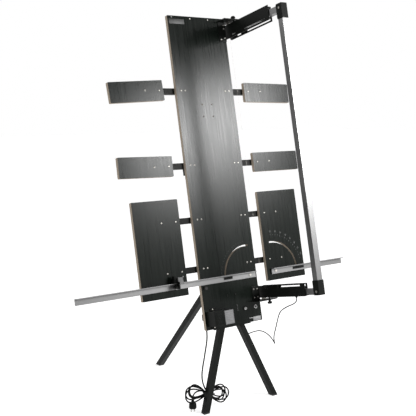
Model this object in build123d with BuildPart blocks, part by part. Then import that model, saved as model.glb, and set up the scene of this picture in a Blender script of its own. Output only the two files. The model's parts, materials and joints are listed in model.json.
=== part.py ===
from build123d import *
import math
import os

os.makedirs("parts", exist_ok=True)

# Hot-wire cutter for insulation boards, on a tripod. Millimetres, +Z up, the user stands at -Y.
# Most pieces are drawn in the board's own frame: u to the right along the main board's width
# (0 = its left edge), v up along its height (0 = its bottom edge), n out of its front face.

# ---- stand and boards
LEAN = math.radians(12.42)          # the boards lean back by this much
EDGE_HEIGHT = 392.0                 # bottom front edge of the main board above the floor
PLY = 18.0                          # plywood thickness
BOARD_W, BOARD_H = 350.0, 1560.0
SMALL_W, SMALL_H = 300.0, 100.0     # upper and middle side boards
LARGE_W, LARGE_H = 257.0, 464.0     # lower side boards
GAP = 75.0                          # between the main board and a side board
BOARD_CORNER = 4.0
ARM_HEIGHTS = (1182.0, 810.0, 541.0, 300.0)
ARM_H, ARM_D, ARM_WALL = 30.0, 20.0, 2.0
LEFT_ARM, RIGHT_ARM = (-205.0, 72.0), (284.0, 553.0)
LEFT_SCREWS, RIGHT_SCREWS = (28.0, 52.0, -99.0, -181.0), (300.0, 324.0, 451.0, 530.0)

# ---- rails, which turn about a pivot and are clamped in an arc slot
RAIL_N, RAIL_T = 5.0, 3.0           # gap behind a rail, and its metal thickness
RAIL_V, RAIL_H, RAIL_FLANGE = 220.5, 30.0, 23.0
LEFT_PIVOT, RIGHT_PIVOT = (302.0, 236.0), (473.0, 236.0)
LEFT_RAIL, RIGHT_RAIL = (-677.0, 338.0), (447.0, 946.0)
ARC_R, ARC_WIDTH, ARC_SWEEP = 150.0, 8.0, 94.0
SLOT_H = 14.0
LEFT_SLOT, RIGHT_SLOT = (136.0, 190.0), (590.0, 668.0)

# ---- bow, its guide arms and the swivel
AXIS_U, AXIS_N = 384.0, -8.0        # swivel axis and hot wire, in the gap right of the main board
GUIDE_W, GUIDE_T = 40.0, 3.0
GUIDE_BACK, GUIDE_FRONT = -30.0, 335.0
GUIDE_STEP = 22.0                   # the web and the far wall end this much behind the near wall
LOW_GUIDE, TOP_GUIDE = (110.0, 171.0), (1457.0, 1530.0)
SLIDE, SLIDE_WALL = 30.0, 2.0
LOW_SLIDE, TOP_SLIDE = 115.0, 1476.0
SLIDE_BACK, SLIDE_FRONT = -25.0, 426.0
BOW_TUBE, BOW_N = 32.0, 411.0
LOW_CORNER, TOP_CORNER = (112.0, 183.0), (1440.0, 1513.0)
CORNER_W, CORNER_D = 37.0, 39.0
WIRE_D = 0.6
LOW_PLATE, TOP_PLATE, PLATE_T = 97.0, 1541.0, 4.0
PLATE_R, LOCK_R = 70.0, 44.0

# ---- tripod
LEG, LEG_WALL = 30.0, 2.0
HUB = (175.0, 145.0)                # where the front legs' centre lines meet
LEG_N = -41.0
LEG_SPLAY = math.atan(214.0 / 537.0)
SOCKET, SOCKET_BORE = 36.0, 30.4
HEAD_T = 5.0
PIN_V, PIN_N, PIN_R = 232.0, -130.0, 5.0
REAR_TIP_Y, REAR_PIN_GAP = 702.0, 20.0
FOOT = 7.0

# ---- electrics
BOX_U, BOX_V, BOX_N, BOX_WALL = (11.0, 128.0), (18.0, 90.0), 67.0, 2.5
MAINS_D, LEAD_D = 7.0, 5.0

# ---- row frame: origin on the floor below the middle of the whole stand
CENTRE_U = (LEFT_RAIL[0] + RIGHT_RAIL[1]) / 2
CENTRE_Y = 162.87

SIN, COS = math.sin(LEAN), math.cos(LEAN)
U_DIR, V_DIR, N_DIR = Vector(1, 0, 0), Vector(0, SIN, COS), Vector(0, -COS, SIN)


def point(u, v, n=0.0):
    """A place in the board's frame."""
    return Vector(u - CENTRE_U, v * SIN - n * COS - CENTRE_Y, EDGE_HEIGHT + v * COS + n * SIN)


def stand(x, y, z):
    """A place measured from the floor line below the main board's bottom front edge."""
    return Vector(x + BOARD_W / 2 - CENTRE_U, y - CENTRE_Y, z)


def front_plane(n=0.0):
    """Sketch axes u, v."""
    return Plane(origin=point(0, 0, n), x_dir=U_DIR, z_dir=N_DIR)


def side_plane(u=0.0):
    """Sketch axes v, n."""
    return Plane(origin=point(u, 0, 0), x_dir=V_DIR, z_dir=U_DIR)


def level_plane(v=0.0):
    """Sketch axes u, n; extrusions run down the board."""
    return Plane(origin=point(0, v, 0), x_dir=U_DIR, z_dir=-V_DIR)


def block(u, v, n, mode=Mode.ADD):
    """A box between two values of u, of v and of n."""
    middle = point(sum(u) / 2, sum(v) / 2, sum(n) / 2)
    with Locations(Plane(origin=middle, x_dir=U_DIR, z_dir=N_DIR)):
        Box(u[1] - u[0], v[1] - v[0], n[1] - n[0], mode=mode)


def rod(start, direction, length, radius, mode=Mode.ADD):
    with Locations(Plane(origin=start, z_dir=direction)):
        Cylinder(radius, length, align=(Align.CENTER, Align.CENTER, Align.MIN), mode=mode)


def taper(start, direction, length, radius, end_radius, mode=Mode.ADD):
    with Locations(Plane(origin=start, z_dir=direction)):
        Cone(radius, end_radius, length, align=(Align.CENTER, Align.CENTER, Align.MIN), mode=mode)


def pan_screw(u, v, n=0.0, length=20.5, head=4.3):
    """A pan-head screw driven in from the front."""
    rod(point(u, v, n - length), N_DIR, length, SCREW_R)
    with Locations(Plane(origin=point(u, v, n), z_dir=N_DIR)):
        Cone(head, head * 0.72, 2.2, align=(Align.CENTER, Align.CENTER, Align.MIN))


def arc_cut(centre, start, sweep_angle, radius, width, from_plane, depth):
    """Cuts a curved slot through the part."""
    with BuildSketch(from_plane) as slot:
        with BuildLine() as path:
            CenterArc(centre, radius, start, sweep_angle)
        SlotArc(path.edge(), width)
    extrude(slot.sketch, amount=depth, mode=Mode.SUBTRACT)


def save(piece, name):
    piece.part.label = name
    export_step(piece.part, f"parts/{name}.step")
    return piece.part


# ---------------------------------------------------------------- boards

LEFT_EDGE, RIGHT_EDGE = -GAP - SMALL_W / 2 - 1, BOARD_W + GAP + SMALL_W / 2

# name, centre, width, height, tilt about n in degrees
SIDE_BOARDS = (
    ("wing_left_upper", (LEFT_EDGE, 1176), SMALL_W, SMALL_H, 2.8),
    ("wing_right_upper", (RIGHT_EDGE, 1174), SMALL_W, SMALL_H, -1.0),
    ("wing_left_middle", (LEFT_EDGE, 812), SMALL_W, SMALL_H, -0.9),
    ("wing_right_middle", (RIGHT_EDGE, 808), SMALL_W, SMALL_H, 0.0),
    ("wing_left_lower", (-204, 418), LARGE_W, LARGE_H, 0.0),
    ("wing_right_lower", (550, 420.5), LARGE_W, LARGE_H, 0.0),
)


def screw_points(side):
    """Where the screws of one side's arms go through the boards."""
    places = LEFT_SCREWS if side == "left" else RIGHT_SCREWS
    return [(u, v) for v in ARM_HEIGHTS for u in places]


ALL_SCREWS = screw_points("left") + screw_points("right")


def screws_in(centre, width, height):
    """The arm screws that go through one board."""
    found = []
    for u, v in ALL_SCREWS:
        if abs(u - centre[0]) < width / 2 and abs(v - centre[1]) < height / 2:
            found.append((u, v))
    return found


HANDLE_SCREWS = ((135.0, 1549.0), (246.0, 1549.0))
HEAD_SCREWS = ((87.0, 12.0), (263.0, 12.0), (150.0, 152.0), (200.0, 152.0))
BOX_SCREWS = ((48.0, 97.0), (49.0, 10.0))
BUMPER_AT = (23.0, 204.0)
SCREW_R, SCREW_HOLE_R = 2.7, 2.9
PIVOT_R, PIVOT_HOLE_R = 4.0, 4.1
FITTING_R, FITTING_HOLE_R = 6.3, 6.5
GLAND_AT, BUTTON_AT, MAINS_AT = (248.0, 73.0), (315.0, 73.0), (21.0, 62.0)
LEAD_OUT_U = 256.0
LOW_FLANGE_SCREWS = ((338.0, 118.0), (338.0, 160.0), (316.0, 118.0), (316.0, 160.0))
TOP_FLANGE_SCREWS = ((340.0, 1526.0), (340.0, 1508.0), (339.0, 1459.0), (315.0, 1451.0))
ACCESSORY_MIDDLE, ACCESSORY_SPACING, ACCESSORY_R = (175.0, 1082.0), 60.0, 3.5

with BuildPart() as main_board:
    with BuildSketch(front_plane(-PLY)):
        with Locations((BOARD_W / 2, BOARD_H / 2)):
            RectangleRounded(BOARD_W, BOARD_H, BOARD_CORNER)
        with Locations(*screws_in((BOARD_W / 2, BOARD_H / 2), BOARD_W, BOARD_H)):
            Circle(SCREW_HOLE_R, mode=Mode.SUBTRACT)
        with Locations(*HANDLE_SCREWS, *HEAD_SCREWS, *BOX_SCREWS, *LOW_FLANGE_SCREWS, *TOP_FLANGE_SCREWS):
            Circle(SCREW_HOLE_R, mode=Mode.SUBTRACT)
        with Locations(ACCESSORY_MIDDLE):
            with GridLocations(ACCESSORY_SPACING, ACCESSORY_SPACING, 2, 2):
                Circle(ACCESSORY_R, mode=Mode.SUBTRACT)
        with Locations(LEFT_PIVOT):
            Circle(PIVOT_HOLE_R, mode=Mode.SUBTRACT)
        with Locations(GLAND_AT, BUTTON_AT, MAINS_AT):
            Circle(FITTING_HOLE_R, mode=Mode.SUBTRACT)
        with Locations(BUMPER_AT):
            Circle(3.1, mode=Mode.SUBTRACT)
    extrude(amount=PLY)
    arc_cut(LEFT_PIVOT, 180 - ARC_SWEEP, ARC_SWEEP, ARC_R, ARC_WIDTH, front_plane(-PLY), PLY)
save(main_board, "main_board")

for name, centre, width, height, tilt in SIDE_BOARDS:
    with BuildPart() as wing:
        with BuildSketch(front_plane(-PLY)):
            with Locations(centre):
                RectangleRounded(width, height, BOARD_CORNER, rotation=tilt)
            with Locations(*screws_in(centre, width, height)):
                Circle(SCREW_HOLE_R, mode=Mode.SUBTRACT)
            if name == "wing_right_lower":
                with Locations(RIGHT_PIVOT):
                    Circle(PIVOT_HOLE_R, mode=Mode.SUBTRACT)
        extrude(amount=PLY)
        if name == "wing_right_lower":
            arc_cut(RIGHT_PIVOT, 0, ARC_SWEEP, ARC_R, ARC_WIDTH, front_plane(-PLY), PLY)
    save(wing, name)

# ---------------------------------------------------------------- steel arms behind the boards


def steel_arm(ends, v):
    """A rectangular tube along u, against the boards' backs."""
    block(ends, (v - ARM_H / 2, v + ARM_H / 2), (-PLY - ARM_D, -PLY))
    inner_v = (v - ARM_H / 2 + ARM_WALL, v + ARM_H / 2 - ARM_WALL)
    block(ends, inner_v, (-PLY - ARM_D + ARM_WALL, -PLY - ARM_WALL), mode=Mode.SUBTRACT)


for side, ends, screws in (("left", LEFT_ARM, LEFT_SCREWS), ("right", RIGHT_ARM, RIGHT_SCREWS)):
    with BuildPart() as arms:
        for v in ARM_HEIGHTS:
            steel_arm(ends, v)
            for u in screws:
                rod(point(u, v, -PLY - ARM_WALL - 1), N_DIR, ARM_WALL + 2, SCREW_HOLE_R, mode=Mode.SUBTRACT)
        if side == "left":
            block((-1, 18), (763, 794.7), (-PLY - 12, -PLY))
    save(arms, f"{side}_arms")

with BuildPart() as arm_end_plugs:
    for v in ARM_HEIGHTS:
        for ends in (LEFT_ARM, RIGHT_ARM):
            for end, out in ((ends[0], -1), (ends[1], 1)):
                flange = sorted((end, end + 2.5 * out))
                stem = sorted((end, end - 10 * out))
                block(flange, (v - ARM_H / 2, v + ARM_H / 2), (-PLY - ARM_D, -PLY - 0.2))
                block(stem, (v - 12.8, v + 12.8), (-PLY - ARM_D + 2.2, -PLY - 2.2))
save(arm_end_plugs, "arm_end_plugs")

with BuildPart() as board_screws:
    for u, v in ALL_SCREWS:
        pan_screw(u, v)
save(board_screws, "board_screws")

with BuildPart() as bracket_bolts:
    for u, v in HEAD_SCREWS:
        pan_screw(u, v, length=PLY + 4.5, head=4.6)
    for u, v in HANDLE_SCREWS:
        pan_screw(u, v, length=PLY + 8)
    for u, v in LOW_FLANGE_SCREWS + TOP_FLANGE_SCREWS:
        pan_screw(u, v, n=PLATE_T, length=PLY)
    for u, v in BOX_SCREWS:
        pan_screw(u, v, n=3.0, length=PLY - 2)
save(bracket_bolts, "bracket_bolts")

with BuildPart() as carry_handle:
    grip_u, grip_v = (HANDLE_SCREWS[0][0], HANDLE_SCREWS[1][0]), HANDLE_SCREWS[0][1]
    with BuildSketch(level_plane(grip_v + 8)):
        with Locations((sum(grip_u) / 2, -PLY - 20)):
            RectangleRounded(grip_u[1] - grip_u[0] + 22, 40, 9)
        with Locations((sum(grip_u) / 2, -PLY - 12)):
            Rectangle(grip_u[1] - grip_u[0] - 22, 28, mode=Mode.SUBTRACT)
    extrude(amount=16)
    for u in grip_u:
        rod(point(u, grip_v, -PLY - 9), N_DIR, 10, 2.75, mode=Mode.SUBTRACT)
save(carry_handle, "carry_handle")

# ---------------------------------------------------------------- tripod


def leg_frame(side, along=0.0):
    """A plane square to a front leg's axis, `along` millimetres below the hub; -1 is the left leg."""
    direction = U_DIR * (side * math.sin(LEG_SPLAY)) - V_DIR * math.cos(LEG_SPLAY)
    origin = point(HUB[0], HUB[1], LEG_N) + direction * along
    return Plane(origin=origin, x_dir=N_DIR, z_dir=direction)


def floor_plane(height):
    return Plane(origin=(0, 0, height), z_dir=(0, 0, 1))


LEG_TOP = (HUB[1] - 78) / math.cos(LEG_SPLAY)
SOCKET_END = (HUB[1] - 2) / math.cos(LEG_SPLAY)
# lengths before the legs are cut at the floor
LEG_LENGTH, REAR_LENGTH = 620.0, 900.0
CLAMP_V = 40.0
CLAMP_SHIFT = (HUB[1] - CLAMP_V) * math.tan(LEG_SPLAY)
PIN = point(HUB[0], PIN_V, PIN_N)
REAR_TIP = Vector(PIN.X, REAR_TIP_Y - CENTRE_Y, 0)
REAR_DIR = (REAR_TIP - PIN).normalized()
REAR_FRAME = Plane(origin=PIN - REAR_DIR * REAR_PIN_GAP, x_dir=U_DIR, z_dir=REAR_DIR)

# the head's plate in u, v and the cheeks that hold the rear leg in v, n
HEAD_PLATE = ((57, -7), (287, -7), (287, 28), (222, 60), (222, 165), (128, 165), (128, 60), (57, 28))
CHEEK = ((96, -20), (165, -20), (250, -106), (264, -136), (248, -170), (222, -170), (198, -146), (96, -60))

with BuildPart() as tripod_head:
    with BuildSketch(front_plane(-PLY - HEAD_T)):
        with BuildLine():
            Polyline(*HEAD_PLATE, close=True)
        make_face()
    extrude(amount=HEAD_T)
    for side in (-1, 1):
        with BuildSketch(leg_frame(side, LEG_TOP - 3)):
            Rectangle(SOCKET, SOCKET)
        extrude(amount=SOCKET_END - LEG_TOP + 3)
    for side in (-1, 1):
        with BuildSketch(leg_frame(side, LEG_TOP - 1)):
            Rectangle(SOCKET_BORE, SOCKET_BORE)
        extrude(amount=LEG_LENGTH, mode=Mode.SUBTRACT)
        rod(point(HUB[0] + side * CLAMP_SHIFT, CLAMP_V, -70), N_DIR, 16, PIVOT_HOLE_R, mode=Mode.SUBTRACT)
    for u in (HUB[0] - 20.5, HUB[0] + 15.5):
        with BuildSketch(side_plane(u)):
            with BuildLine():
                Polyline(*CHEEK, close=True)
            make_face()
            fillet(vertices().group_by(Axis.Z)[-1], radius=2)
        extrude(amount=5)
    rod(PIN - U_DIR * 30, U_DIR, 60, PIN_R + 0.05, mode=Mode.SUBTRACT)
    for u, v in HEAD_SCREWS:
        rod(point(u, v, -PLY - HEAD_T - 1), N_DIR, HEAD_T + 2, SCREW_HOLE_R, mode=Mode.SUBTRACT)
    with Locations(Plane(origin=PIN + REAR_DIR * 22, x_dir=U_DIR, z_dir=REAR_DIR)):
        with Locations((0, -LEG / 2 - 2.8)):
            Box(41, 5, 16)
save(tripod_head, "tripod_head")


def front_leg(side):
    with BuildPart() as leg:
        with BuildSketch(leg_frame(side, LEG_TOP)):
            Rectangle(LEG, LEG)
            Rectangle(LEG - 2 * LEG_WALL, LEG - 2 * LEG_WALL, mode=Mode.SUBTRACT)
        extrude(amount=LEG_LENGTH)
        split(bisect_by=floor_plane(FOOT), keep=Keep.TOP)
    return leg


save(front_leg(-1), "front_leg_left")
save(front_leg(1), "front_leg_right")

with BuildPart() as rubber_pads:
    for side in (-1, 1):
        with BuildSketch(leg_frame(side, LEG_TOP)):
            Rectangle(LEG, LEG)
        extrude(amount=LEG_LENGTH)
    split(bisect_by=floor_plane(FOOT), keep=Keep.BOTTOM)
    split(bisect_by=floor_plane(0), keep=Keep.TOP)
    rod(point(*BUMPER_AT), N_DIR, 11, 8)
    rod(point(*BUMPER_AT, -PLY), N_DIR, PLY, 3)
save(rubber_pads, "rubber_pads")

with BuildPart() as rear_leg:
    with BuildSketch(REAR_FRAME):
        Rectangle(LEG, LEG)
        Rectangle(LEG - 2 * LEG_WALL, LEG - 2 * LEG_WALL, mode=Mode.SUBTRACT)
    extrude(amount=REAR_LENGTH)
    split(bisect_by=floor_plane(FOOT), keep=Keep.TOP)
    rod(PIN - U_DIR * 30, U_DIR, 60, PIN_R + 0.05, mode=Mode.SUBTRACT)
save(rear_leg, "rear_leg")

with BuildPart() as rear_foot:
    with BuildSketch(REAR_FRAME):
        Rectangle(LEG, LEG)
    extrude(amount=REAR_LENGTH)
    split(bisect_by=floor_plane(FOOT), keep=Keep.BOTTOM)
    split(bisect_by=floor_plane(0), keep=Keep.TOP)
save(rear_foot, "rear_foot")

with BuildPart() as rear_leg_bolt:
    rod(PIN - U_DIR * 27, U_DIR, 54, PIN_R)
    for side in (-1, 1):
        with BuildSketch(Plane(origin=PIN + U_DIR * (side * 20.6), x_dir=V_DIR, z_dir=U_DIR * side)):
            RegularPolygon(9.2, 6)
        extrude(amount=6.2)
save(rear_leg_bolt, "rear_leg_bolt")


def star_knob(centre, direction, x_dir, radius, depth, bore, bore_depth):
    """A five-lobed clamp knob; `centre` is the middle of its inner face."""
    with BuildPart() as knob:
        with BuildSketch(Plane(origin=centre, x_dir=x_dir, z_dir=direction)):
            Circle(radius * 0.78)
            with PolarLocations(radius * 0.72, 5):
                Circle(radius * 0.28)
        extrude(amount=depth)
        rod(centre - direction * 4, direction, 5, radius * 0.45)
        if bore:
            rod(centre - direction * 5, direction, bore_depth + 5, bore, mode=Mode.SUBTRACT)
    return knob


for side, name in ((-1, "left"), (1, "right")):
    knob_u = HUB[0] + side * CLAMP_SHIFT
    leg_clamp = star_knob(point(knob_u, CLAMP_V, -66), -N_DIR, U_DIR, 15, 13, None, 0)
    with BuildPart() as clamp:
        add(leg_clamp.part)
        rod(point(knob_u, CLAMP_V, -66), N_DIR, 9.7, 4.05)
    save(clamp, f"leg_clamp_{name}")

# ---------------------------------------------------------------- rails


def angle_rail(ends, slot, pivot):
    """An L-section rail: a web against the boards and a flange on top that carries the work."""
    with BuildPart() as rail:
        block(ends, (RAIL_V, RAIL_V + RAIL_H), (RAIL_N, RAIL_N + RAIL_T))
        block(ends, (RAIL_V + RAIL_H - RAIL_T, RAIL_V + RAIL_H), (RAIL_N, RAIL_N + RAIL_FLANGE))
        through = (RAIL_N - 1, RAIL_N + RAIL_T + 1)
        block(slot, (pivot[1] - SLOT_H / 2, pivot[1] + SLOT_H / 2), through, mode=Mode.SUBTRACT)
        rod(point(*pivot, RAIL_N - 1), N_DIR, RAIL_T + 2, PIVOT_R + 0.06, mode=Mode.SUBTRACT)
    return rail


def clamp_bolt(u, v, slot):
    """A slide block in the rail's slot with its bolt through the boards' arc slot."""
    with BuildPart() as bolt:
        half = SLOT_H / 2 - 0.2
        block((slot[0] + 0.3, slot[1] - 0.3), (v - half, v + half), (RAIL_N, RAIL_N + RAIL_T + 1.5))
        rod(point(u, v, -40), N_DIR, 40 + RAIL_N + 1, 3.75)
        rod(point(u, v, RAIL_N + RAIL_T + 1), N_DIR, 3.5, 5.5)
    return bolt


LEFT_CLAMP = (LEFT_PIVOT[0] - ARC_R, LEFT_PIVOT[1])
RIGHT_CLAMP = (RIGHT_PIVOT[0] + ARC_R, RIGHT_PIVOT[1])

for side, ends, slot, pivot, clamp_at in (
    ("left", LEFT_RAIL, LEFT_SLOT, LEFT_PIVOT, LEFT_CLAMP),
    ("right", RIGHT_RAIL, RIGHT_SLOT, RIGHT_PIVOT, RIGHT_CLAMP),
):
    save(angle_rail(ends, slot, pivot), f"{side}_rail")
    save(clamp_bolt(*clamp_at, slot), f"{side}_clamp_bolt")
    knob = star_knob(point(*clamp_at, -PLY - 5), -N_DIR, U_DIR, 18, 20, 3.81, 17.5)
    save(knob, f"{side}_clamp_knob")

STOP_U = (-192.0, -147.0)
JAW_U = (-155.0, -147.0)
FLANGE_TOP = RAIL_V + RAIL_H

with BuildPart() as stop_slider:
    block(STOP_U, (FLANGE_TOP + 0.3, 282), (RAIL_N + 4, 33))
    block(JAW_U, (FLANGE_TOP + 0.3, 282), (RAIL_N + 4, 33))
    block(JAW_U, (FLANGE_TOP - 8, 282), (RAIL_N + RAIL_FLANGE + 0.3, 38))
    block(JAW_U, (223, FLANGE_TOP - RAIL_T - 0.3), (RAIL_N + RAIL_T + 0.3, 46))
    block(JAW_U, (223, FLANGE_TOP), (RAIL_N + RAIL_FLANGE + 0.3, 46))
    rod(point(JAW_U[0] - 1, 232, 38), U_DIR, 10, 2.55, mode=Mode.SUBTRACT)
save(stop_slider, "stop_slider")

with BuildPart() as stop_plate:
    with BuildSketch(side_plane(STOP_U[1])):
        with BuildLine():
            back, flange_n = RAIL_N + RAIL_T + 0.3, RAIL_N + RAIL_FLANGE + 0.3
            under, over = FLANGE_TOP - RAIL_T - 0.3, FLANGE_TOP + 0.3
            Polyline(
                (222, back), (under, back), (under, flange_n), (over, flange_n),
                (over, back), (283, back), (283, 80), (222, 80), close=True,
            )
        make_face()
        with Locations((232, 38)):
            Circle(2.55, mode=Mode.SUBTRACT)
    extrude(amount=3)
save(stop_plate, "stop_plate")

stop_head = star_knob(point(JAW_U[0] - 4.5, 232, 38), -U_DIR, V_DIR, 8, 10, None, 0)
with BuildPart() as stop_knob:
    add(stop_head.part)
    rod(point(JAW_U[0] - 4.5, 232, 38), U_DIR, 16.5, 2.5)
save(stop_knob, "stop_knob")

with BuildPart() as pivot_bolts:
    for u, v in (LEFT_PIVOT, RIGHT_PIVOT):
        rod(point(u, v, -PLY - 9), N_DIR, PLY + 9 + RAIL_N + RAIL_T + 0.2, PIVOT_R)
        rod(point(u, v, RAIL_N + RAIL_T + 0.2), N_DIR, 3, 6.5)
        rod(point(u, v, 0), N_DIR, RAIL_N - 0.2, 10)
        with BuildSketch(front_plane(-PLY - 7)):
            with Locations((u, v)):
                RegularPolygon(7.5, 6)
        extrude(amount=7)
    for plate, web, up in ((LOW_PLATE, LOW_GUIDE[0], 1), (TOP_PLATE + PLATE_T, TOP_GUIDE[1], -1)):
        along = V_DIR * up
        outer = point(AXIS_U, plate, AXIS_N)
        with BuildSketch(Plane(origin=outer, x_dir=U_DIR, z_dir=-along)):
            RegularPolygon(9.2, 6)
        extrude(amount=6)
        rod(outer, along, abs(web - plate) + GUIDE_T - 0.2, 5)
        rod(outer + along * PLATE_T, along, abs(web - plate) - PLATE_T - 0.3, 12)
save(pivot_bolts, "pivot_bolts")

# ---------------------------------------------------------------- swivel brackets


def swivel_bracket(plate_top, flange, flange_screws):
    """A quadrant plate square to the board with a flange screwed to the board's front."""
    with BuildPart() as bracket:
        with BuildSketch(level_plane(plate_top)):
            with Locations((AXIS_U, AXIS_N)):
                Circle(PLATE_R)
            with Locations((344.5, 31)):
                Rectangle(79, 62)
            with Locations((AXIS_U, -64)):
                Rectangle(200, 60, mode=Mode.SUBTRACT)
            with Locations((326, -30)):
                Rectangle(51, 60, mode=Mode.SUBTRACT)
        extrude(amount=PLATE_T)
        block((305, 350), flange, (0, PLATE_T))
        rod(point(AXIS_U, plate_top - PLATE_T - 1, AXIS_N), V_DIR, PLATE_T + 2, 5.2, mode=Mode.SUBTRACT)
        arc_cut((AXIS_U, AXIS_N), 43, 47, LOCK_R, 6.8, level_plane(plate_top + 1), PLATE_T + 2)
        for u, v in flange_screws:
            rod(point(u, v, -1), N_DIR, PLATE_T + 2, SCREW_HOLE_R, mode=Mode.SUBTRACT)
    return bracket


LOW_FLANGE = (LOW_PLATE, 175)
save(swivel_bracket(LOW_PLATE + PLATE_T, LOW_FLANGE, LOW_FLANGE_SCREWS), "swivel_bracket_lower")
TOP_FLANGE = (1440, TOP_PLATE + PLATE_T)
save(swivel_bracket(TOP_FLANGE[1], TOP_FLANGE, TOP_FLANGE_SCREWS), "swivel_bracket_upper")

# ---------------------------------------------------------------- guide arms

GUIDE_U = (AXIS_U - GUIDE_W / 2, AXIS_U + GUIDE_W / 2)
LOCK_N = AXIS_N + LOCK_R
LONG_SLOT = (139.0, 302.0)
LEAD_EXIT = (AXIS_U, 245.0)         # where the lead enters the lower guide arm, in u and n


def guide_arm(span, web_low, slot_v, slot_h):
    """A channel open towards the middle of the board; the bow's slide tube runs in it."""
    low, high = span
    mid_v = (low + high) / 2
    with BuildPart() as guide:
        with BuildSketch(side_plane(GUIDE_U[0])) as side:
            with Locations((mid_v, (GUIDE_BACK + GUIDE_FRONT) / 2)):
                Rectangle(high - low, GUIDE_FRONT - GUIDE_BACK)
            chamfer(side.vertices().group_by(Axis.Y)[0], length=9)
            with Locations((slot_v, (LONG_SLOT[0] + LONG_SLOT[1]) / 2)):
                Rectangle(slot_h, LONG_SLOT[1] - LONG_SLOT[0], mode=Mode.SUBTRACT)
            with Locations((slot_v, 48)):
                Rectangle(slot_h, 30, mode=Mode.SUBTRACT)
        extrude(amount=GUIDE_W)
        inner_u = (GUIDE_U[0] + GUIDE_T, GUIDE_U[1] - GUIDE_T)
        inner_v = (low + GUIDE_T, high + 5) if web_low else (low - 5, high - GUIDE_T)
        block(inner_u, inner_v, (GUIDE_BACK - 5, GUIDE_FRONT + 5), mode=Mode.SUBTRACT)
        far_wall = (inner_u[1] - 1, GUIDE_U[1] + 1)
        slot_end = (LONG_SLOT[0] - GUIDE_STEP, LONG_SLOT[0] + 1)
        block(far_wall, (slot_v - slot_h / 2, slot_v + slot_h / 2), slot_end, mode=Mode.SUBTRACT)
        step = (GUIDE_FRONT - GUIDE_STEP, GUIDE_FRONT + 1)
        block((inner_u[0], GUIDE_U[1] + 1), (low - 1, high + 1), step, mode=Mode.SUBTRACT)
        web = low if web_low else high
        for n, radius in ((AXIS_N, 5.05), (LOCK_N, 3.05)):
            rod(point(AXIS_U, web - GUIDE_T - 1, n), V_DIR, 2 * GUIDE_T + 2, radius, mode=Mode.SUBTRACT)
        if web_low:
            rod(point(AXIS_U, web - 1, LEAD_EXIT[1]), V_DIR, GUIDE_T + 2, 4.0, mode=Mode.SUBTRACT)
    return guide


save(guide_arm(LOW_GUIDE, True, 161, 10), "guide_arm_lower")
save(guide_arm(TOP_GUIDE, False, 1469, 8), "guide_arm_upper")

FIT = 0.3
with BuildPart() as slide_bearings:
    inner_u = (GUIDE_U[0] + GUIDE_T, GUIDE_U[1] - GUIDE_T)
    hole_u = (AXIS_U - SLIDE / 2 - FIT, AXIS_U + SLIDE / 2 + FIT)
    low_body = (LOW_GUIDE[0] + GUIDE_T, LOW_SLIDE + SLIDE + 3.5)
    top_body = (TOP_SLIDE - 2.5, TOP_GUIDE[1] - GUIDE_T)
    for n in ((258, 276), (291, 311)):
        for body, hole in ((low_body, LOW_SLIDE), (top_body, TOP_SLIDE)):
            block(inner_u, body, n)
            block(hole_u, (hole - FIT, hole + SLIDE + FIT), (n[0] - 1, n[1] + 1), mode=Mode.SUBTRACT)
save(slide_bearings, "slide_bearings")

with BuildPart() as arm_gland:
    gland_foot = point(LEAD_EXIT[0], LOW_GUIDE[0], LEAD_EXIT[1])
    rod(gland_foot, V_DIR, GUIDE_T - 0.2, 3.9)
    rod(gland_foot, -V_DIR, 3, 7.5)
    taper(gland_foot - V_DIR * 3, -V_DIR, 5, 6.0, 3.8)
save(arm_gland, "arm_gland")


def lock_knob(plate_face, web_inner, up):
    """A mushroom knob outside the bracket whose stud reaches through its arc slot into the arm."""
    along = V_DIR * up
    start = point(AXIS_U, plate_face, LOCK_N)
    with BuildPart() as knob:
        rod(start - along * 0.4, -along, 9.6, 6)
        rod(start - along * 10, -along, 6, 12)
        taper(start - along * 16, -along, 5, 12, 8)
        rod(start - along * 0.4, along, abs(web_inner - plate_face) + 0.2, 3)
    return knob


save(lock_knob(LOW_PLATE, LOW_GUIDE[0] + GUIDE_T, 1), "lock_knob_lower")
save(lock_knob(TOP_PLATE + PLATE_T, TOP_GUIDE[1] - GUIDE_T, -1), "lock_knob_upper")

# ---------------------------------------------------------------- bow

CORNER_U = (AXIS_U - CORNER_W / 2, AXIS_U + CORNER_W / 2)
CORNER_N = (BOW_N - CORNER_D / 2, BOW_N + CORNER_D / 2)
SLIDE_U = (AXIS_U - SLIDE / 2, AXIS_U + SLIDE / 2)
BOLT_N, BOLT_R = 414.0, 3.0


def slide_tube(v):
    with BuildPart() as tube:
        block(SLIDE_U, (v, v + SLIDE), (SLIDE_BACK, SLIDE_FRONT))
        inner_u = (SLIDE_U[0] + SLIDE_WALL, SLIDE_U[1] - SLIDE_WALL)
        inner_v = (v + SLIDE_WALL, v + SLIDE - SLIDE_WALL)
        block(inner_u, inner_v, (SLIDE_BACK - 1, SLIDE_FRONT + 1), mode=Mode.SUBTRACT)
        rod(point(SLIDE_U[0] - 1, v + SLIDE / 2, BOLT_N), U_DIR, SLIDE + 2, BOLT_R + 0.1, mode=Mode.SUBTRACT)
    return tube


save(slide_tube(LOW_SLIDE), "slide_tube_lower")
save(slide_tube(TOP_SLIDE), "slide_tube_upper")

TUBE_ENDS = (LOW_SLIDE + SLIDE + 3, TOP_SLIDE - 3)
with BuildPart() as bow_tube:
    half = BOW_TUBE / 2
    inner = half - SLIDE_WALL
    through = (TUBE_ENDS[0] - 1, TUBE_ENDS[1] + 1)
    block((AXIS_U - half, AXIS_U + half), TUBE_ENDS, (BOW_N - half, BOW_N + half))
    block((AXIS_U - inner, AXIS_U + inner), through, (BOW_N - inner, BOW_N + inner), mode=Mode.SUBTRACT)
save(bow_tube, "bow_tube")


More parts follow.
